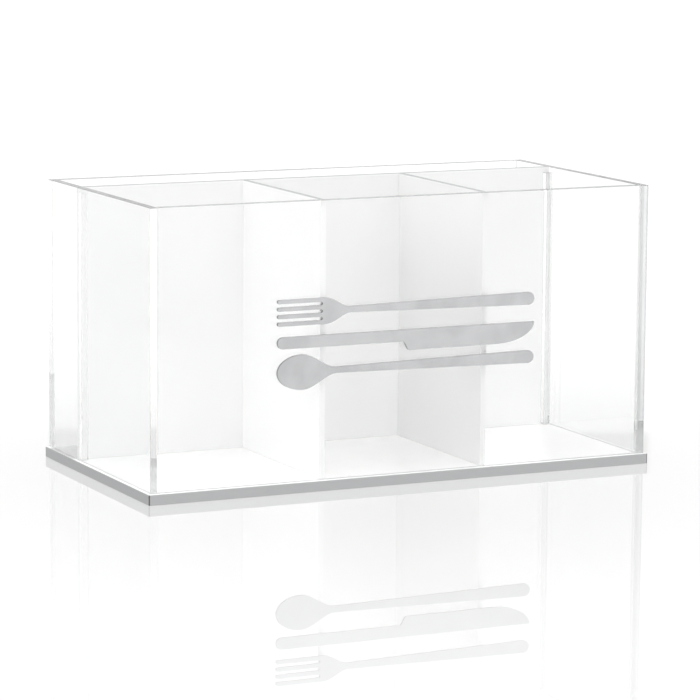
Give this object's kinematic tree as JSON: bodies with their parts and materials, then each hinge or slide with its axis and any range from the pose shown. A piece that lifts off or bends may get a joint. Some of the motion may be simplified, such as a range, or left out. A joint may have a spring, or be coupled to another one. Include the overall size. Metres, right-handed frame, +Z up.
{
  "type": "flatware caddy",
  "caption": "Clear acrylic open-top flatware caddy on a silver base plate, with white cross dividers in front and a white partition that leaves a narrow rear slot.",
  "frame": {"origin": "middle of the base plate's underside", "axes": "+X along the length, +Z up out of the open top, front wall towards -Y and rear slot towards +Y"},
  "size_m": [0.3086, 0.1562, 0.1605],
  "materials": {
    "clear_acrylic": "polished clear sheet with smooth cut edges",
    "white_acrylic": "opaque white sheet, gloss",
    "silver_mirror": "silver mirror-faced sheet with grey cut edges"
  },
  "bodies": {
    "root": {"base_plate": "silver_mirror", "left_wall": "clear_acrylic", "right_wall": "clear_acrylic", "front_wall": "clear_acrylic", "back_wall": "clear_acrylic", "rear_partition": "white_acrylic", "left_guide_rod": "clear_acrylic", "right_guide_rod": "clear_acrylic", "cross_divider_1": "white_acrylic", "cross_divider_2": "white_acrylic", "emblem_fork": "silver_mirror", "emblem_knife": "silver_mirror", "emblem_spoon": "silver_mirror"}
  },
  "joints": []
}
